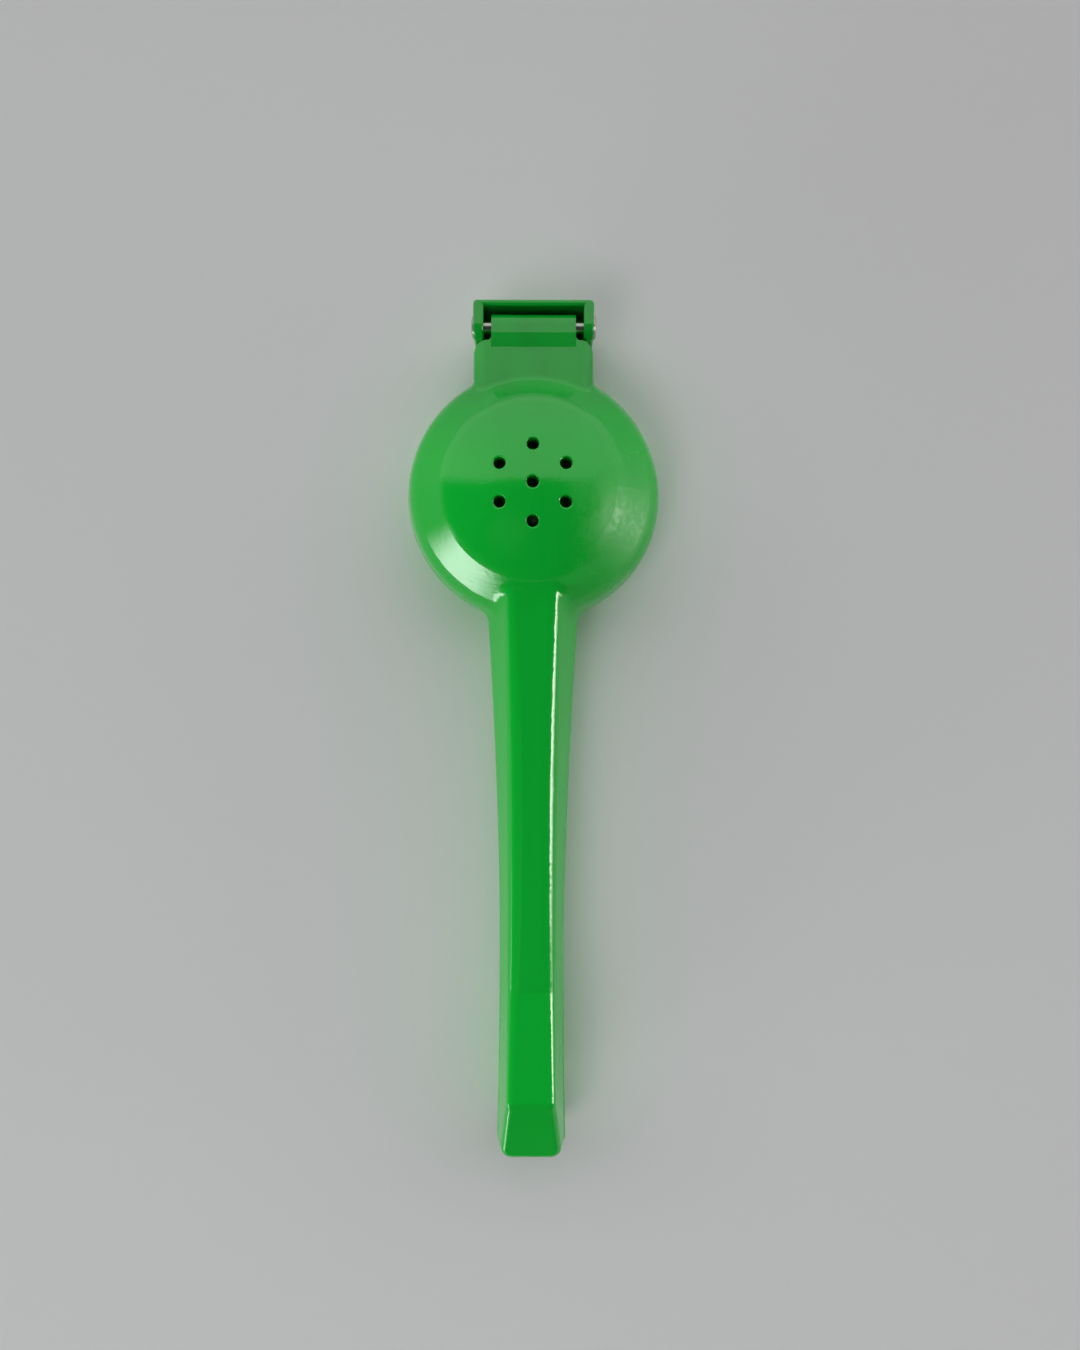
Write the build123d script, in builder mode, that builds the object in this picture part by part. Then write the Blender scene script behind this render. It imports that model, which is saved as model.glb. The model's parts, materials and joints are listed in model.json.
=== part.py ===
from build123d import *
import os
from math import acos, cos, radians, sin, tan

# Hinged citrus squeezer of cast aluminium, shown closed with the cup's pierced bottom up.
# Two castings and one rivet:
#   cup_half    bowl with juice holes, neck, hinge tongue and upper handle
#   press_half  plunger inside the bowl, open ring below it, hinge fork and lower handle
#   hinge_pin   steel rivet through the fork's ears and the tongue
#
# +Z is up, +Y runs from the handles' tips to the hinge, and X = 0 is the plane of symmetry.
# Z = 0 is the surface that the squeezer rests on.  All sizes are in millimetres.
# "Reach" is a distance along Y from the bowl's axis, "rise" a height above the parting
# plane where the two halves meet, and "depth" a distance below that plane.

# --- Overall -----------------------------------------------------------------
parting_height = 13.0      # resting surface to the parting plane
parting_gap = 0.4          # air between the closed halves
plane_tolerance = 0.01     # shapes this near to a plane are taken to lie on it

# --- Bowl of the cup half ----------------------------------------------------
rim_radius = 31.5
bowl_rise = 22.5           # top of the dome
bowl_wall = 3.0
side_draft = 10.0          # degrees, of the steep wall above the rim
band_slope = 43.5          # degrees from level, of the conical band round the dome
band_width = 10.1          # rim to the crease where the dome begins, seen from above
dome_drop = 6.7            # top of the dome to the crease
side_blend = 8.0           # rounding between steep wall and band
crease_blend = 15.0        # rounding between band and dome
crease_radius = rim_radius - band_width
crease_rise = bowl_rise - dome_drop

# --- Juice holes -------------------------------------------------------------
hole_radius = 1.4
hole_ring_radius = 8.9
hole_ring_count = 6
hole_rounding = 0.35       # outer edge of each hole

# --- Hinge -------------------------------------------------------------------
pin_offset = 8.7           # rim of the bowl to the pin's axis
pin_rise = 7.5
pin_radius = 1.5
pin_clearance = 0.05       # running clearance of the tongue on the pin
head_radius = 2.8
head_height = 0.6
head_rounding = 0.4
knuckle_radius = 3.0
knuckle_clearance = 1.5    # knuckle to the fork's web
tongue_clearance = 1.9     # tongue to the ear on each side
tongue_corner = 1.0        # inside corners beside the tongue
ramp_length = 3.5          # sloping strip on top of the tongue, from the neck up to the knuckle
ramp_step = 0.2            # drop from the neck's top to the foot of that strip
ramp_back = 1.65           # the strip starts this far inside the neck's end wall
ear_gap = 24.3
ear_thickness = 2.5
ear_radius = 3.2           # round top of an ear, about the pin
ear_foot_rounding = 1.6    # inside corner where an ear rises from the neck
web_thickness = 1.4
fork_corner = 1.0          # upright outside corners of the web
pin_reach = rim_radius + pin_offset
web_reach = pin_reach + knuckle_radius + knuckle_clearance + web_thickness
tongue_width = ear_gap - 2 * tongue_clearance
fork_half = ear_gap / 2 + ear_thickness

# --- Necks between the bowl and the hinge ------------------------------------
neck_drop = 0.05           # top of the neck under the top of the knuckle
neck_clearance = 0.7       # end wall of the neck to the ears' round tops
neck_shoulder = 3.3        # corners of that end wall, seen from above
neck_blend = 2.0           # inside corner where the neck leaves the bowl
press_neck_depth = 9.5
press_neck_floor = 3.0
press_neck_rounding = 2.5
neck_width = 2 * fork_half
neck_reach = pin_reach - ear_radius - neck_clearance
neck_rise = pin_rise + knuckle_radius - neck_drop
neck_rounding = (neck_width - tongue_width) / 2 - tongue_corner  # long top edges of the neck

# --- Press half: ring and plunger --------------------------------------------
ring_setback = 0.7         # the ring stands this far inside the bowl's rim
ring_draft = 8.0           # degrees
ring_wall = 3.4
ring_rounding = 0.8
plunger_clearance = 2.9    # plunger to the inside of the bowl, at the parting plane
pulp_room = 5.9            # top of the plunger to the inside of the dome
plunger_wall = 3.0
plunger_blend = 3.0        # inside corner between plunger and ring
press_blend = 2.0          # inside corners where the handle and the fork leave the ring
ring_radius = rim_radius - ring_setback
plunger_radius = rim_radius - bowl_wall - plunger_clearance
plunger_rise = bowl_rise - bowl_wall - pulp_room

# --- Handles -----------------------------------------------------------------
handle_length = 132.0      # rim of the bowl to the tips of the handles
handle_wall = 2.3
channel_corner = 1.2       # inside corners of the channels under the backs
channel_offset = 3.0       # rim of the bowl to the start of the channels
lip_proud = 0.4            # the lower handle is this much wider on each side
lip_rounding = 0.6
root_depth = 11.5          # the handles start this far inside the bowl's rim
waist_length = 26.5        # rim of the bowl to the waist
grip_length = 62.0         # grip to the tip
flare_length = 41.5        # start of the flare to the tip
slope_length = 16.3        # crest of the flare to the tip, over the sloping end
tip_rise = 6.0             # height of the upright wall at a handle's tip
tip_corner = 2.8
crest_rounding = 1.5       # round the edge of the sloping end
root_blend = 4.2           # inside corner where the upper handle leaves the bowl
tip_reach = rim_radius + handle_length
root_reach = rim_radius - root_depth
waist_reach = rim_radius + waist_length
grip_reach = tip_reach - grip_length
flare_reach = tip_reach - flare_length
crest_reach = tip_reach - slope_length
grip_start = rim_radius + channel_offset

# Half width at the lips, half width of the back, and shoulder radius at each station.
root_lip, root_back, root_shoulder = 12.2, 6.2, 2.5
waist_lip, waist_back, waist_shoulder = 9.8, 5.3, 4.0
grip_lip, grip_back, grip_shoulder = 8.1, 5.2, 3.6
flare_lip, flare_back, flare_shoulder = 8.0, 5.3, 3.0
crest_lip, crest_back, crest_shoulder = 8.1, 5.7, 1.8
tip_lip, tip_back, tip_shoulder = 8.4, 5.9, 1.6

# Height of the upper handle's back above the parting plane at each station, and depth of the
# lower handle's back below it.  The lower one's crest lies on the resting surface.
upper_root, upper_waist, upper_grip, upper_flare, upper_crest = 13.8, 11.6, 10.0, 9.7, 14.4
lower_root, lower_waist, lower_grip, lower_flare, lower_crest = 10.3, 9.6, 9.2, 9.4, parting_height

bowl_y = (tip_reach - web_reach) / 2


# --- Reference planes and axes -----------------------------------------------
parting = Plane((0, bowl_y, parting_height))
bowl_axis = Axis((0, bowl_y, 0), (0, 0, 1))
bowl_section = Plane((0, bowl_y, parting_height), x_dir=(1, 0, 0), z_dir=(0, -1, 0))
lengthwise = Plane((0, bowl_y, parting_height), x_dir=(0, 1, 0), z_dir=(1, 0, 0))
ring_top = parting.offset(-parting_gap)
pin_line = Plane((0, bowl_y + pin_reach, parting_height + pin_rise), x_dir=(0, 1, 0), z_dir=(1, 0, 0))


def across(reach):
    """Upright plane across the handles; local X is world X and local Y is the rise."""
    return Plane((0, bowl_y - reach, parting_height), x_dir=(1, 0, 0), z_dir=(0, -1, 0))


def at_ring_top(shapes):
    """Those of the faces or edges that lie on the plane where the press half's lips end."""
    level = ring_top.origin.Z
    return shapes.filter_by_position(Axis.Z, level - plane_tolerance, level + plane_tolerance)


# --- Shared forms --------------------------------------------------------------
def bowl_outline(inset):
    """Apex, crease, shoulder and rim of the bowl's half section, `inset` under its outside."""
    slope = radians(band_slope)
    draft = radians(side_draft)
    dome_radius = (crease_radius**2 + dome_drop**2) / (2 * dome_drop)
    dome_centre = bowl_rise - dome_radius
    # The band and the steep wall are straight lines, each held by its distance along its normal.
    band_offset = crease_radius * sin(slope) + crease_rise * cos(slope) - inset
    wall_offset = rim_radius * cos(draft) - inset
    inner_radius = dome_radius - inset
    crease_angle = slope - acos((band_offset - dome_centre * cos(slope)) / inner_radius)
    spread = cos(slope + draft)
    apex = (0, bowl_rise - inset)
    crease = (inner_radius * sin(crease_angle), dome_centre + inner_radius * cos(crease_angle))
    shoulder = (
        (wall_offset * cos(slope) - band_offset * sin(draft)) / spread,
        (band_offset * cos(draft) - wall_offset * sin(slope)) / spread,
    )
    rim = (wall_offset / cos(draft), 0)
    return apex, crease, shoulder, rim, inner_radius


def bowl_form(inset):
    """The bowl as a solid of revolution, `inset` under its outside, standing on the parting plane."""
    apex, crease, shoulder, rim, dome_radius = bowl_outline(inset)
    with BuildPart() as form:
        with BuildSketch(bowl_section) as section:
            with BuildLine():
                RadiusArc(apex, crease, dome_radius)
                Polyline(crease, shoulder, rim, (0, 0), apex)
            make_face()
            corners = section.vertices().sort_by(Axis.X)
            fillet(corners[-2], side_blend - inset)
            fillet(section.vertices().sort_by_distance((crease[0], crease[1]))[0], crease_blend)
        revolve(axis=bowl_axis)
    return form.part


def handle_form(root_rise, waist_rise, grip_rise, flare_rise, crest_rise, widen=0, inset=0):
    """One handle as a solid, back uppermost, `widen` wider on each side, `inset` under its outside."""
    # The back climbs on past the crest, where the sloping end cuts it off.
    end_rise = crest_rise + (crest_rise - flare_rise) * slope_length / (flare_length - slope_length)
    root = (root_reach, root_lip, root_back, root_shoulder, root_rise)
    waist = (waist_reach, waist_lip, waist_back, waist_shoulder, waist_rise)
    grip = (grip_reach, grip_lip, grip_back, grip_shoulder, grip_rise)
    flare = (flare_reach, flare_lip, flare_back, flare_shoulder, flare_rise)
    crest = (crest_reach, crest_lip, crest_back, crest_shoulder, crest_rise)
    tip = (tip_reach, tip_lip, tip_back, tip_shoulder, end_rise)
    tip_plane = Plane(
        (0, bowl_y - crest_reach, parting_height + crest_rise),
        x_dir=(1, 0, 0),
        z_dir=(0, tip_rise - crest_rise, tip_reach - crest_reach),
    )
    with BuildPart() as form:
        for stretch in ((root, waist, grip, flare), (flare, crest, tip)):
            for reach, lip, back, shoulder, rise in stretch:
                lip_half = lip + widen - inset
                back_half = back + widen - inset
                top = rise - inset
                with BuildSketch(across(reach)) as section:
                    with BuildLine():
                        Polyline(
                            (-lip_half, 0), (lip_half, 0), (back_half, top), (-back_half, top), close=True
                        )
                    make_face()
                    fillet(section.vertices().group_by(Axis.Y)[-1], channel_corner if inset else shoulder)
            loft()
        split(bisect_by=tip_plane.offset(-inset), keep=Keep.BOTTOM)
        if inset:
            split(bisect_by=across(grip_start), keep=Keep.TOP)
            split(bisect_by=across(tip_reach - inset), keep=Keep.BOTTOM)
        else:
            end_wall = form.faces().sort_by(Axis.Y)[0]
            fillet(end_wall.edges().filter_by(lambda edge: abs(edge.center().X) > tip_back), tip_corner)
            fillet(form.faces().filter_by(tip_plane).edges(), crest_rounding)
    return form.part


# --- Cup half ------------------------------------------------------------------
upper_rises = (upper_root, upper_waist, upper_grip, upper_flare, upper_crest)
upper_outside = handle_form(*upper_rises)
upper_channel = handle_form(*upper_rises, inset=handle_wall)
bowl_outside = bowl_form(0)
bowl_room = bowl_form(bowl_wall)

with BuildPart() as cup_neck:
    # Cross section with rounded top corners, from the bowl's axis to the neck's end wall ...
    with BuildSketch(across(-neck_reach)) as neck_section:
        with Locations((0, neck_rise / 2)):
            Rectangle(neck_width, neck_rise)
        fillet(neck_section.vertices().group_by(Axis.Y)[-1], neck_rounding)
    extrude(amount=neck_reach)
    # ... trimmed to rounded shoulders, seen from above.
    with BuildSketch(parting) as neck_plan:
        with Locations((0, neck_reach / 2)):
            Rectangle(neck_width, neck_reach)
        fillet(neck_plan.vertices().group_by(Axis.Y)[-1], neck_shoulder)
    extrude(amount=neck_rise, mode=Mode.INTERSECT)

ramp_start = neck_reach - ramp_back

with BuildPart() as tongue:
    # A plate from the neck to the knuckle, which is round about the pin.
    with BuildSketch(pin_line):
        Circle(knuckle_radius)
        Rectangle(pin_reach - ramp_start, 2 * knuckle_radius, align=(Align.MAX, Align.CENTER))
    extrude(amount=tongue_width / 2, both=True)

with BuildPart() as ramp_room:
    # What is cleared over the strip that climbs from a small step in the neck to the knuckle.
    knuckle_rise = pin_rise + knuckle_radius
    with BuildSketch(lengthwise):
        with BuildLine():
            Polyline(
                (ramp_start, neck_rise - ramp_step),
                (ramp_start + ramp_length, knuckle_rise),
                (ramp_start, knuckle_rise),
                close=True,
            )
        make_face()
    extrude(amount=tongue_width / 2, both=True)

with BuildPart() as cup_half:
    add(upper_outside)
    add(bowl_outside)
    fillet(cup_half.edges(Select.NEW), root_blend)
    add(cup_neck.part)
    fillet(cup_half.edges(Select.NEW), neck_blend)
    add(tongue.part)
    fillet(cup_half.edges(Select.NEW).filter_by(Axis.Z), tongue_corner)
    add(ramp_room.part, mode=Mode.SUBTRACT)
    add(bowl_room, mode=Mode.SUBTRACT)
    add(upper_channel, mode=Mode.SUBTRACT)
    with BuildSketch(pin_line):
        Circle(pin_radius + pin_clearance)
    extrude(amount=tongue_width, both=True, mode=Mode.SUBTRACT)
    with BuildSketch(parting):
        Circle(hole_radius)
        with PolarLocations(hole_ring_radius, hole_ring_count, start_angle=90):
            Circle(hole_radius)
    extrude(amount=bowl_rise, mode=Mode.SUBTRACT)
    outside = parting_height + bowl_rise - bowl_wall
    mouths = cup_half.edges(Select.NEW).filter_by(lambda edge: edge.center().Z > outside)
    fillet(mouths, hole_rounding)
    lip = cup_half.faces().filter_by(Plane.XY).sort_by(Axis.Z)[0]
    fillet(lip.edges(), lip_rounding)
cup_half.part.label = "cup_half"

# --- Press half ----------------------------------------------------------------
lower_rises = (lower_root, lower_waist, lower_grip, lower_flare, lower_crest)
lower_outside = mirror(handle_form(*lower_rises, widen=lip_proud), about=parting)
lower_channel = mirror(handle_form(*lower_rises, widen=lip_proud, inset=handle_wall), about=parting)

with BuildPart() as ring_and_plunger:
    # Half section of the outside: foot, drafted ring, flat top and spherical plunger.
    foot_radius = ring_radius - (parting_height - parting_gap) * tan(radians(ring_draft))
    plunger_drop = plunger_rise + parting_gap
    plunger_ball = (plunger_radius**2 + plunger_drop**2) / (2 * plunger_drop)
    with BuildSketch(bowl_section) as ring_outside:
        with BuildLine():
            RadiusArc((0, plunger_rise), (plunger_radius, -parting_gap), plunger_ball)
            Polyline(
                (plunger_radius, -parting_gap),
                (ring_radius, -parting_gap),
                (foot_radius, -parting_height),
                (0, -parting_height),
                (0, plunger_rise),
            )
        make_face()
    revolve(axis=bowl_axis)
    fillet(at_ring_top(ring_and_plunger.edges()).sort_by(SortBy.RADIUS)[0], plunger_blend)
    fillet(ring_and_plunger.edges().group_by(Axis.Z)[0], ring_rounding)

with BuildPart() as dish:
    # The open space under the plunger, down to the resting surface.
    dish_ball = plunger_ball - plunger_wall
    dish_edge_depth = parting_gap + ring_wall
    dish_edge_lift = plunger_ball - plunger_rise - dish_edge_depth
    dish_edge_radius = (dish_ball**2 - dish_edge_lift**2) ** 0.5
    with BuildSketch(bowl_section):
        with BuildLine():
            RadiusArc((0, plunger_rise - plunger_wall), (dish_edge_radius, -dish_edge_depth), dish_ball)
            Polyline(
                (dish_edge_radius, -dish_edge_depth),
                (foot_radius - ring_wall, -parting_height),
                (0, -parting_height),
                (0, plunger_rise - plunger_wall),
            )
        make_face()
    revolve(axis=bowl_axis)

with BuildPart() as fork:
    # Side view: a low neck, with ears that rise round the pin and a web that closes the end.
    ear_reach = pin_reach - ear_radius
    ear_rise = pin_rise + ear_radius
    with BuildSketch(lengthwise) as fork_side:
        with BuildLine():
            Polyline(
                (0, -press_neck_depth),
                (web_reach, -press_neck_depth),
                (web_reach, ear_rise),
                (ear_reach, ear_rise),
                (ear_reach, -parting_gap),
                (0, -parting_gap),
                close=True,
            )
        make_face()
        fillet(fork_side.vertices().sort_by_distance((ear_reach, ear_rise))[0], ear_radius)
        fillet(fork_side.vertices().sort_by_distance((ear_reach, -parting_gap))[0], ear_foot_rounding)
    extrude(amount=fork_half, both=True)
    fillet(fork.faces().sort_by(Axis.Y)[-1].edges().filter_by(Axis.Z), fork_corner)
    fillet(fork.faces().sort_by(Axis.Z)[0].edges().filter_by(Axis.Y), press_neck_rounding)
    with BuildSketch(parting.offset(press_neck_floor - press_neck_depth)):
        with Locations((0, (web_reach - web_thickness) / 2)):
            Rectangle(ear_gap, web_reach - web_thickness)
    extrude(amount=press_neck_depth + ear_rise, mode=Mode.SUBTRACT)

with BuildPart() as press_half:
    add(lower_outside)
    split(bisect_by=ring_top, keep=Keep.BOTTOM)
    add(ring_and_plunger.part)
    fillet(press_half.edges(Select.NEW), press_blend)
    add(fork.part)
    fillet(press_half.edges(Select.NEW), press_blend)
    add(lower_channel, mode=Mode.SUBTRACT)
    add(dish.part, mode=Mode.SUBTRACT)
    with BuildSketch(pin_line):
        Circle(pin_radius)
    extrude(amount=web_reach, both=True, mode=Mode.SUBTRACT)
    # Lips of the ring and handle, and the rim of the fork.
    lip = at_ring_top(press_half.faces().filter_by(Plane.XY))
    fork_top = press_half.faces().filter_by(Plane.XY).sort_by(Axis.Z)[-1]
    fillet(lip.edges() + fork_top.edges(), lip_rounding)
press_half.part.label = "press_half"

# --- Hinge pin -----------------------------------------------------------------
with BuildPart() as hinge_pin:
    with BuildSketch(pin_line):
        Circle(pin_radius)
    extrude(amount=fork_half, both=True)
    for side in (-1, 1):
        with BuildSketch(pin_line.offset(side * fork_half)):
            Circle(head_radius)
        extrude(amount=side * head_height)
    ends = hinge_pin.faces().filter_by(GeomType.PLANE).sort_by(Axis.X)
    fillet(ends[0].edges() + ends[-1].edges(), head_rounding)
hinge_pin.part.label = "hinge_pin"

# --- Write each piece ----------------------------------------------------------
os.makedirs("parts", exist_ok=True)
for piece in (cup_half, press_half, hinge_pin):
    export_step(piece.part, f"parts/{piece.part.label}.step")
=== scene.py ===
# %% [markdown]
# # A hinged lemon squeezer
#
# The squeezer is two green enamelled castings on one steel rivet. It lies closed on a plain floor, with
# the pierced bottom of its cup up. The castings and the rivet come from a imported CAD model, which is the
# frame: nothing in it is moved or resized here. What is made here is a better rivet, the finish, the light
# and the camera.

import json
from math import cos, pi, radians, sin, tan

import bpy
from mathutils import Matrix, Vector


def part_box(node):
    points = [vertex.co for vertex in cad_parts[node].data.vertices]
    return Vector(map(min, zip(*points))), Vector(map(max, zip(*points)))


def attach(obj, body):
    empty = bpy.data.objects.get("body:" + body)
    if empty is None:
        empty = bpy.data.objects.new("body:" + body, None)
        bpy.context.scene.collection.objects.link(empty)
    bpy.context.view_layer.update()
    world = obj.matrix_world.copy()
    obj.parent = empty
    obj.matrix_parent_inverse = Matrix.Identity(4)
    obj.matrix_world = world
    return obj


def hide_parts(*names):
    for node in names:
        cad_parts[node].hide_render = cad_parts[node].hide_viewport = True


MM = 0.001
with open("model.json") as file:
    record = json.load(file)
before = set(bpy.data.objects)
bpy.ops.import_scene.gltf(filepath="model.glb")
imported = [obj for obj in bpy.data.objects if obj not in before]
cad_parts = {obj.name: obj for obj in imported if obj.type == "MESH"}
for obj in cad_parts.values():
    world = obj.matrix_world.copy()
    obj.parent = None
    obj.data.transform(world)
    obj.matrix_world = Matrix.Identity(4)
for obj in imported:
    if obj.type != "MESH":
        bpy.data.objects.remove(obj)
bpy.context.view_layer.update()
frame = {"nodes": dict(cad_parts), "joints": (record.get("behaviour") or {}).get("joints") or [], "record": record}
scene = bpy.context.scene

# %% [markdown]
# ## Landmarks
#
# Everything below is placed from a few landmarks of the frame: the plane where the two halves meet, the
# middle of the cup, and the line of the rivet. The first comes from the box of the cup half. The squeezer
# stands on the ring under its cup, so its resting mount gives the second, and the hinge gives the third.

# %% Find the landmarks
cup_low, cup_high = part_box("cup_half")
pin_low, pin_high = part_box("hinge_pin")
foot = Vector(frame["record"]["mounts"][0]["pos_m"])
hinge = Vector(frame["joints"][0]["pos_m"])
parting = cup_low.z
cup_middle = Vector((0, foot.y, parting))
print(f"halves meet {parting / MM:.1f} mm up, cup is {(cup_high.x - cup_low.x) / MM:.1f} mm across")
print(f"hinge is {(hinge.y - foot.y) / MM:.1f} mm behind the middle of the cup")


def out_at(azimuth, distance, height):
    """A place round the middle of the cup; azimuth 0 is +X and 90 is the hinge side."""
    return Vector((
        distance * cos(radians(azimuth)),
        cup_middle.y + distance * sin(radians(azimuth)),
        height,
    ))


# %% [markdown]
# ## Tools for materials
#
# A node group is a small function for materials. Each one below puts out a height, a mask or a strength,
# and the material that calls it decides what to do with it. The helpers here keep the wiring short: they
# take a number or another node's output wherever a value is wanted.

# %% Helpers for nodes
def new_group(name, inputs, output):
    """An empty node group with float inputs {label: default} and one float output."""
    group = bpy.data.node_groups.new(name, "ShaderNodeTree")
    for label, default in inputs.items():
        socket = group.interface.new_socket(label, in_out="INPUT", socket_type="NodeSocketFloat")
        socket.default_value = default
    group.interface.new_socket(output, in_out="OUTPUT", socket_type="NodeSocketFloat")
    entry = group.nodes.new("NodeGroupInput")
    leave = group.nodes.new("NodeGroupOutput")
    return group, entry, leave.inputs[output]


def wire(tree, value, socket):
    """Links a node's output to a socket, or writes a plain value into it."""
    if isinstance(value, bpy.types.NodeSocket):
        tree.links.new(value, socket)
    else:
        socket.default_value = value


def maths(tree, operation, *values):
    """One Math node, with numbers or other nodes' outputs as its values."""
    node = tree.nodes.new("ShaderNodeMath")
    node.operation = operation
    for value, socket in zip(values, node.inputs):
        wire(tree, value, socket)
    return node.outputs[0]


def ramp(tree, value, low, high):
    """A smooth step from 0 at `low` to 1 at `high`."""
    node = tree.nodes.new("ShaderNodeMapRange")
    node.interpolation_type = "SMOOTHSTEP"
    wire(tree, value, node.inputs["Value"])
    wire(tree, low, node.inputs["From Min"])
    wire(tree, high, node.inputs["From Max"])
    return node.outputs["Result"]


def mix(tree, kind, sockets, share, first, second):
    """One Mix node. It has sockets for each kind of value, and `sockets` picks its inputs and output."""
    node = tree.nodes.new("ShaderNodeMix")
    node.data_type = kind
    start, end, result = sockets
    wire(tree, share, node.inputs[0])
    wire(tree, first, node.inputs[start])
    wire(tree, second, node.inputs[end])
    return node.outputs[result]


def blend(tree, share, first, second):
    """A mix of two floats."""
    return mix(tree, "FLOAT", (2, 3, 0), share, first, second)


def tint(tree, share, first, second):
    """A mix of two colours."""
    return mix(tree, "RGBA", (6, 7, 2), share, (*first, 1), (*second, 1))


def noise(tree, size_mm, detail):
    """Soft noise on the object's own coordinates, with lumps of about `size_mm`."""
    place = tree.nodes.new("ShaderNodeTexCoord")
    node = tree.nodes.new("ShaderNodeTexNoise")
    node.inputs["Detail"].default_value = detail
    tree.links.new(place.outputs["Object"], node.inputs["Vector"])
    wire(tree, maths(tree, "DIVIDE", 1 / MM, size_mm), node.inputs["Scale"])
    return node.outputs["Fac"]


def split(tree, output):
    """The X, Y and Z of a texture coordinate."""
    place = tree.nodes.new("ShaderNodeTexCoord")
    parts = tree.nodes.new("ShaderNodeSeparateXYZ")
    tree.links.new(place.outputs[output], parts.inputs[0])
    return parts.outputs["X"], parts.outputs["Y"], parts.outputs["Z"]


def call(tree, group, **settings):
    """Uses a node group in a tree, and gives back its output."""
    node = tree.nodes.new("ShaderNodeGroup")
    node.node_tree = group
    for label, value in settings.items():
        wire(tree, value, node.inputs[label.replace("_", " ")])
    return node.outputs[0]


# %% [markdown]
# ## Orange peel
#
# Baked enamel flows before it sets, but never quite flat. It keeps dimples of a millimetre or so, called
# orange peel, on top of slower waves from the casting underneath. Both break up the edge of a reflection,
# and that is what tells the eye that the gloss is paint and not plastic. They could be carved into the
# mesh, but relief this shallow shows only in reflections, so two noises that feed a bump do the same with
# no extra faces.

# %% A group for the unevenness of a skin
def unevenness_group():
    inputs = {"Dimple Size": 1.2, "Wave Size": 9.0, "Wave Share": 0.6}
    group, entry, height = new_group("unevenness", inputs, "Height")
    dimples = noise(group, entry.outputs["Dimple Size"], detail=1.0)
    waves = noise(group, entry.outputs["Wave Size"], detail=0.0)
    group.links.new(blend(group, entry.outputs["Wave Share"], dimples, waves), height)
    return group


unevenness = unevenness_group()
print("group:", unevenness.name)

# %% [markdown]
# ## Turning marks
#
# A tool leaves fine rings on the heads of a rivet. They too could be cut into the mesh, but they are only
# about a hundredth of a millimetre deep, so they are a bump: a sine of the distance from the rivet's axis.

# %% A group for rings round the rivet's axis
def turning_group():
    group, entry, height = new_group("turning_marks", {"Pitch": 0.12}, "Height")
    _, y, z = split(group, "Object")
    across = maths(group, "POWER", maths(group, "SUBTRACT", y, hinge.y), 2)
    up = maths(group, "POWER", maths(group, "SUBTRACT", z, hinge.z), 2)
    reach = maths(group, "SQRT", maths(group, "ADD", across, up))
    turns = maths(group, "DIVIDE", maths(group, "DIVIDE", reach, MM), entry.outputs["Pitch"])
    group.links.new(maths(group, "SINE", maths(group, "MULTIPLY", turns, 2 * pi)), height)
    return group


turning_marks = turning_group()
print("group:", turning_marks.name)

# %% [markdown]
# ## Wear and painted shade
#
# Wear sits where a thing is touched, and it fades out unevenly. It could be painted by hand on an
# unwrapped surface, but a mask made from the distance to a spot needs no unwrapping, and moves with the
# piece. It is near 1 in the middle of the spot and 0 beyond a ragged edge. It serves for two marks on the
# squeezer: real wear, where a palm rubs the enamel dull, and painted shade round the hinge, where the
# green is darkened to stand in for the light that falls off toward that end.

# %% A group for a spot mask, used for wear and for painted shade
def wear_and_shade_group():
    """All the inputs are in millimetres."""
    core = 0.4
    lump_size = 6.0
    speck_low = 0.3
    speck_high = 0.7
    faintest = 0.7
    inputs = {"Along X": 0, "Along Y": 0, "Along Z": 0, "Reach": 20, "Ragged": 6, "Speck Size": 1.3}
    group, entry, spot_mask = new_group("wear_and_shade_spot", inputs, "Wear")
    place = group.nodes.new("ShaderNodeTexCoord")
    middle = group.nodes.new("ShaderNodeCombineXYZ")
    for axis in "XYZ":
        wire(group, maths(group, "MULTIPLY", entry.outputs[f"Along {axis}"], MM), middle.inputs[axis])
    span = group.nodes.new("ShaderNodeVectorMath")
    span.operation = "DISTANCE"
    group.links.new(place.outputs["Object"], span.inputs[0])
    group.links.new(middle.outputs["Vector"], span.inputs[1])
    away = maths(group, "DIVIDE", span.outputs["Value"], MM)
    shift = maths(group, "SUBTRACT", noise(group, lump_size, detail=2.0), 0.5)
    lumps = maths(group, "MULTIPLY", shift, entry.outputs["Ragged"])
    inner = maths(group, "MULTIPLY", entry.outputs["Reach"], core)
    edge = ramp(group, maths(group, "ADD", away, lumps), inner, entry.outputs["Reach"])
    grain = noise(group, entry.outputs["Speck Size"], detail=1.0)
    specks = ramp(group, grain, speck_low, speck_high)
    mottled = blend(group, specks, faintest, 1.0)
    group.links.new(maths(group, "MULTIPLY", maths(group, "SUBTRACT", 1, edge), mottled), spot_mask)
    return group


wear_and_shade_spot = wear_and_shade_group()
print("group:", wear_and_shade_spot.name)

# %% [markdown]
# ## Materials
#
# The enamel is a clean saturated green with a hard gloss. It could be a dull base under a clear coat, but
# enamel has its colour and its gloss in one layer, so one layer is used. The rubbed spot only makes it
# rougher, so the reflection there spreads into a pale patch. Round the hinge the green is darkened as
# painted shade, for the light that falls off toward that end; this changes only its colour. The rivet is
# bare steel, a little duller than chrome.

# %% Green enamel and rivet steel
def new_material(name, colour, roughness):
    material = bpy.data.materials.new(name)
    material.use_nodes = True
    shader = material.node_tree.nodes["Principled BSDF"]
    shader.inputs["Base Color"].default_value = (*colour, 1)
    shader.inputs["Roughness"].default_value = roughness
    return material, material.node_tree, shader


def add_bump(tree, shader, height, strength, depth_mm):
    bump = tree.nodes.new("ShaderNodeBump")
    bump.inputs["Strength"].default_value = strength
    bump.inputs["Distance"].default_value = depth_mm * MM
    tree.links.new(height, bump.inputs["Height"])
    tree.links.new(bump.outputs["Normal"], shader.inputs["Normal"])


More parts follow.
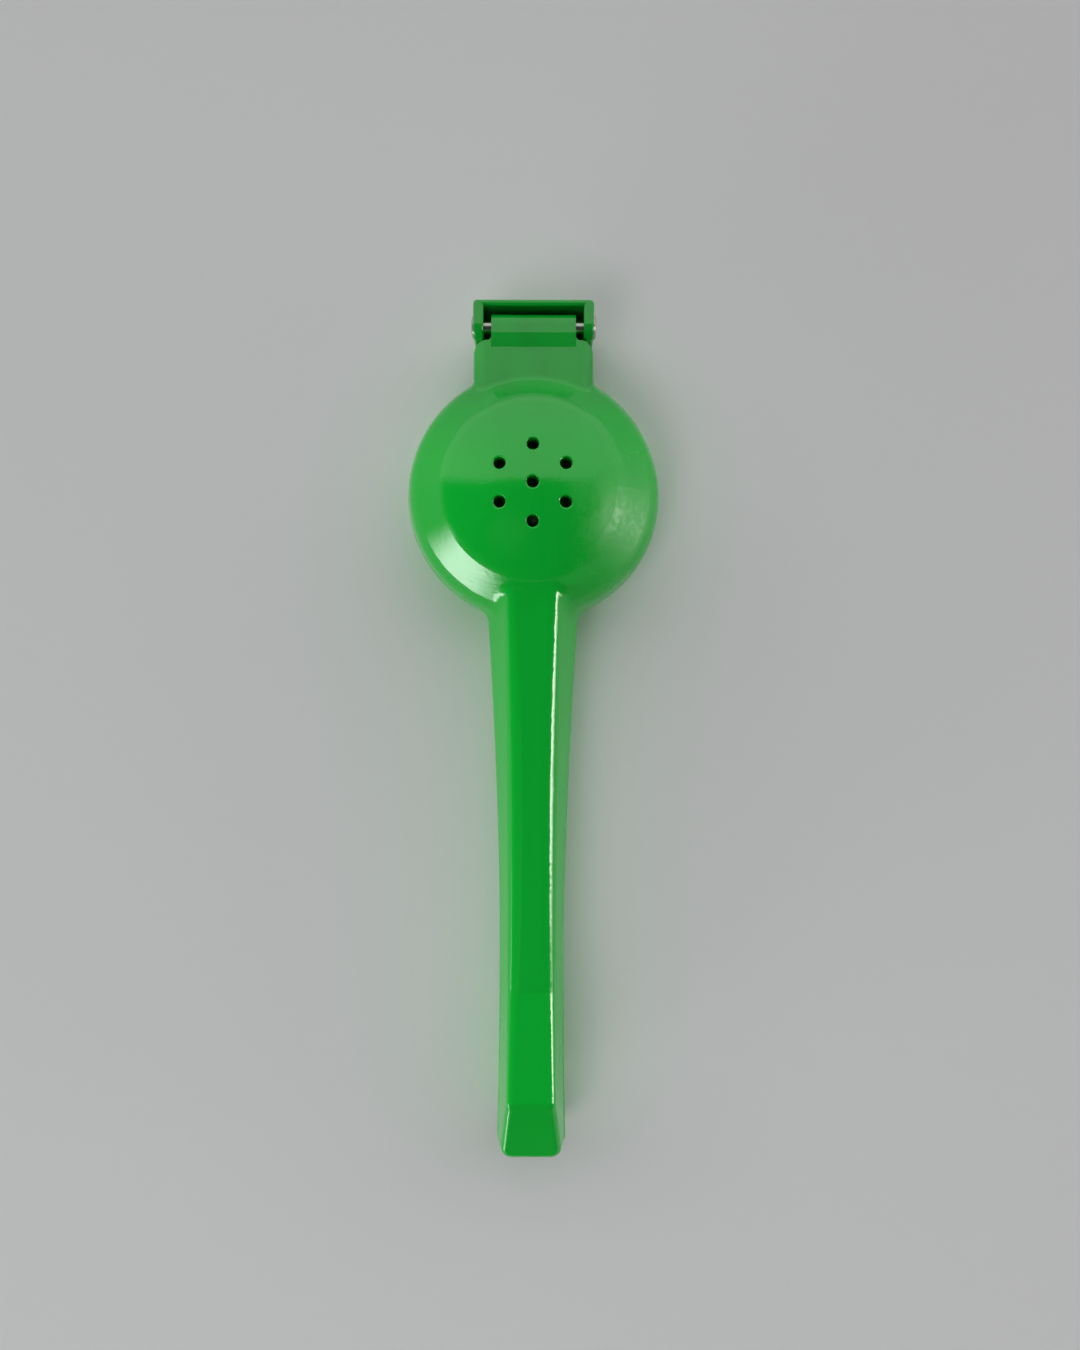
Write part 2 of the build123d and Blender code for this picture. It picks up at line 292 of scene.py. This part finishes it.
def green_enamel():
    enamel_green = (0.001, 0.60, 0.041)
    # The second green is painted shade, laid round the hinge.
    painted_shade_green = (0.004, 0.42, 0.036)
    glossy = 0.13
    rubbed = 0.50
    palm = cup_middle / MM + Vector((26, -8, 13))
    joint = hinge / MM
    material, tree, shader = new_material("green_enamel", enamel_green, glossy)
    shader.inputs["IOR"].default_value = 1.6
    spot_mask = call(
        tree, wear_and_shade_spot, Along_X=palm.x, Along_Y=palm.y, Along_Z=palm.z, Reach=24, Ragged=14
    )
    wire(tree, blend(tree, spot_mask, glossy, rubbed), shader.inputs["Roughness"])
    # Painted shade: the green is darkened round the hinge, for the light that falls off toward that end.
    painted_hinge_shade = call(
        tree, wear_and_shade_spot, Along_X=0, Along_Y=joint.y, Along_Z=joint.z, Reach=44, Ragged=6, Speck_Size=9
    )
    wire(tree, tint(tree, painted_hinge_shade, enamel_green, painted_shade_green), shader.inputs["Base Color"])
    peel = call(tree, unevenness, Dimple_Size=0.9, Wave_Size=8.0, Wave_Share=0.4)
    add_bump(tree, shader, peel, strength=1.0, depth_mm=0.03)
    return material


def rivet_steel():
    material, tree, shader = new_material("rivet_steel", (0.50, 0.49, 0.47), roughness=0.25)
    shader.inputs["Metallic"].default_value = 1
    add_bump(tree, shader, call(tree, turning_marks, Pitch=0.15), strength=0.3, depth_mm=0.01)
    return material


enamel = green_enamel()
steel = rivet_steel()
print("materials:", enamel.name, "and", steel.name)

# %% [markdown]
# ## Castings
#
# The cup half and the press half are each one casting, in the same green. They could be remade here with
# subdivision surfaces, but the CAD model already has their shapes, so they are kept as they are and only
# take the enamel.

# %% Dress the castings
for node in ("cup_half", "press_half"):
    piece = frame["nodes"][node]
    piece.data.materials.clear()
    piece.data.materials.append(enamel)
    print(node, "wears", enamel.name)

# %% [markdown]
# ## The rivet
#
# The CAD rivet is a plain pin with two flat heads. The real one is a domed head on one end, and on the
# other a shank that was pressed over, which leaves a dimple in its middle. Both are round about the
# hinge, so one outline of distances along the pin and radii is enough, spun into a surface.

# %% Spin the rivet
def spun(name, outline, sides):
    """A closed surface of revolution about the hinge line from (place along X, radius) pairs."""
    vertices = []
    faces = []
    for along, radius in outline:
        for turn in range(sides):
            angle = 2 * pi * turn / sides
            vertices.append((along, hinge.y + radius * cos(angle), hinge.z + radius * sin(angle)))
    for ring in range(len(outline) - 1):
        for turn in range(sides):
            after = (turn + 1) % sides
            low = ring * sides
            high = low + sides
            faces.append((low + turn, low + after, high + after, high + turn))
    last = (len(outline) - 1) * sides
    faces.append(tuple(range(sides - 1, -1, -1)))
    faces.append(tuple(range(last, last + sides)))
    mesh = bpy.data.meshes.new(name)
    mesh.from_pydata(vertices, [], faces)
    mesh.shade_smooth()
    mesh.set_sharp_from_angle(angle=radians(40))
    piece = bpy.data.objects.new(name, mesh)
    scene.collection.objects.link(piece)
    return piece


def rivet_outline():
    shank = 1.5 * MM
    head_height = 0.6 * MM
    flat = 0.3 * MM
    dimple = 0.25 * MM
    head = (pin_high.z - pin_low.z) / 2
    seat = pin_high.x - head_height
    steps = 8
    domed = []
    pressed = []
    for step in range(steps + 1):
        angle = pi / 2 * step / steps
        rise = head_height * (1 - cos(angle))
        domed.append((pin_low.x + rise, flat + (head - flat) * sin(angle)))
        pressed.append((seat + head_height * sin(angle), head - (head - shank) * (1 - cos(angle))))
    return domed + [(-seat, shank), (seat, shank)] + pressed + [(pin_high.x - dimple, flat)]


rivet = spun("rivet", rivet_outline(), sides=48)
rivet.data.materials.append(steel)
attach(rivet, "press")
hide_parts("hinge_pin")
print("rivet:", len(rivet.data.vertices), "vertices")

# %% [markdown]
# ## Floor
#
# The squeezer lies on a plain pale disc, almost without gloss. A wide plane would reach under the low
# lights at the sides and glare there, so the disc ends well short of them.

# %% Lay the floor
def round_floor(radius, sides):
    corners = [out_at(360 * turn / sides, radius, 0) for turn in range(sides)]
    mesh = bpy.data.meshes.new("floor")
    mesh.from_pydata(corners, [], [tuple(range(sides))])
    disc = bpy.data.objects.new("floor", mesh)
    scene.collection.objects.link(disc)
    material, _, shader = new_material("floor_paint", (0.88, 0.88, 0.89), roughness=0.9)
    shader.inputs["Specular IOR Level"].default_value = 0.1
    mesh.materials.append(material)
    return disc


floor = round_floor(radius=0.85, sides=128)
print("floor:", f"{floor.dimensions.x:.2f} m across")

# %% [markdown]
# ## Lights
#
# Gloss shows the room, so the room is designed from its reflection. A camera straight above sees, in each
# part of the squeezer, one part of the room: the flat tops show what is overhead, and the sloping band
# round the dome shows the horizon. So the lights that the gloss is to show stand low and out at the sides,
# and their faces fade out toward their edges, as a window behind a thin curtain does.
#
# - A wide low window far off at the front left draws the broad highlight on the band.
# - A low light on the right lightens the flank of the handle on its side.
# - A smaller one above it is seen in reflections alone. It draws the line along the handle's shoulder and
#   the patch on the rubbed spot.
# - A fill from high at the front left is the other way round: no reflection shows it, but it brings out
#   the green and lays the soft shadow to the right.

# %% Set up the lights
def soft_edge_group():
    """1 in the middle of a light's face, falling to 0 over `Softness` of its half width at each edge."""
    inputs = {"Softness Across": 0.3, "Softness Up": 0.3}
    group, entry, strength = new_group("soft_edge", inputs, "Strength")
    face = group.nodes.new("ShaderNodeNewGeometry")
    parts = group.nodes.new("ShaderNodeSeparateXYZ")
    group.links.new(face.outputs["Parametric"], parts.inputs[0])
    falls = []
    for axis, label in (("X", "Softness Across"), ("Y", "Softness Up")):
        both_ways = maths(group, "SUBTRACT", maths(group, "MULTIPLY", parts.outputs[axis], 2), 1)
        from_edge = maths(group, "SUBTRACT", 1, maths(group, "ABSOLUTE", both_ways))
        falls.append(ramp(group, from_edge, 0, entry.outputs[label]))
    group.links.new(maths(group, "MULTIPLY", *falls), strength)
    return group


soft_edge = soft_edge_group()


def soft_light(name, place, target, width, height, radiance, softness, colour):
    """A rectangular light with soft edges; `radiance` is how bright its middle looks."""
    light = bpy.data.lights.new(name, "AREA")
    light.shape = "RECTANGLE"
    light.size = width
    light.size_y = height
    light.energy = radiance * pi * width * height
    light.color = colour
    light.use_nodes = True
    tree = light.node_tree
    across, up = softness
    strength = call(tree, soft_edge, Softness_Across=across, Softness_Up=up)
    tree.links.new(strength, tree.nodes["Emission"].inputs["Strength"])
    lamp = bpy.data.objects.new(name, light)
    lamp.location = place
    lamp.rotation_euler = (Vector(target) - Vector(place)).to_track_quat("-Z", "Y").to_euler()
    scene.collection.objects.link(lamp)
    print(f"{name}: {width} by {height} m, radiance {radiance}")
    return lamp


window_side = 222
right_side = -9
front_left = 235
soft_light(
    "window",
    place=out_at(window_side, distance=2.0, height=0.17),
    target=out_at(window_side, distance=0, height=0.17),
    width=2.4, height=0.34, radiance=10, softness=(0.8, 0.5), colour=(0.9, 1.0, 0.94),
)
soft_light(
    "low_right",
    place=out_at(right_side, distance=1.5, height=0.16),
    target=out_at(right_side, distance=0, height=0.16),
    width=1.2, height=0.32, radiance=6, softness=(1.0, 0.6), colour=(1.0, 0.98, 0.9),
)
high_right = soft_light(
    "high_right",
    place=out_at(right_side, distance=1.5, height=0.50),
    target=out_at(right_side, distance=0, height=0.03),
    width=0.64, height=0.50, radiance=14, softness=(0.5, 0.5), colour=(1.0, 0.98, 0.92),
)
high_right.visible_diffuse = False
fill = soft_light(
    "fill",
    place=out_at(front_left, distance=0.8, height=1.15),
    target=out_at(front_left, distance=0, height=0),
    width=0.8, height=0.8, radiance=2.6, softness=(0.5, 0.5), colour=(1, 1, 1),
)
fill.visible_glossy = False

# %% [markdown]
# ## Room
#
# The rest of the room is the world's own light. It could be an image of a studio, but three strengths of
# white, mixed by direction, are enough and can be set one by one. Overhead it is dark, so that the green
# stays deep on the handle and on the near half of the dome, and it grows pale at the horizon, which
# lightens the band. Behind the hinge stands a bright wall. Its top edge is nearly overhead, and draws the
# straight line across the dome; its light lies on the neck and on the dome's far half.

# %% Light the room
def studio_room(overhead, horizon, wall, horizon_top, wall_top, wall_side):
    """The three strengths of light, and the angles in degrees at which the horizon and the wall end."""
    top_softness = 0.01
    side_softness = 0.6
    room = bpy.data.worlds.new("room")
    room.use_nodes = True
    tree = room.node_tree
    x, y, z = split(tree, "Generated")
    plain = blend(tree, ramp(tree, z, 0, sin(radians(horizon_top))), horizon, overhead)
    back = maths(tree, "MULTIPLY", y, sin(radians(wall_top)))
    up = maths(tree, "MULTIPLY", z, cos(radians(wall_top)))
    below_top = ramp(tree, maths(tree, "SUBTRACT", back, up), 0, top_softness)
    spread = maths(tree, "MULTIPLY", y, tan(radians(wall_side)))
    aside = maths(tree, "ABSOLUTE", x)
    within_sides = ramp(tree, maths(tree, "SUBTRACT", spread, aside), 0, side_softness)
    on_wall = maths(tree, "MULTIPLY", below_top, within_sides)
    background = tree.nodes["Background"]
    background.inputs["Color"].default_value = (1, 1, 1, 1)
    wire(tree, blend(tree, on_wall, plain, wall), background.inputs["Strength"])
    return room


scene.world = studio_room(
    overhead=0.05, horizon=0.45, wall=0.88, horizon_top=13, wall_top=77.5, wall_side=79
)
print("world:", scene.world.name)

# %% [markdown]
# ## Camera
#
# It looks straight down from close by, a hand's length and a half above the squeezer, and stands a little
# toward the handles. A longer lens from further away would flatten the view; from here the near parts look
# clearly larger than the far ones.

# %% Place the camera
def overhead_camera():
    above_cup = Vector((1.83, -44.7, 272)) * MM
    roll = radians(0.19)
    data = bpy.data.cameras.new("camera")
    data.sensor_width = 36
    data.lens = 28.85
    data.clip_start = 0.01
    camera = bpy.data.objects.new("camera", data)
    camera.location = cup_middle + above_cup
    camera.rotation_euler = (0, 0, roll)
    scene.collection.objects.link(camera)
    return camera


scene.camera = overhead_camera()
scene.view_settings.view_transform = "Standard"
print(f"camera: {scene.camera.data.lens:.2f} mm lens, {scene.camera.location.z / MM:.0f} mm up")
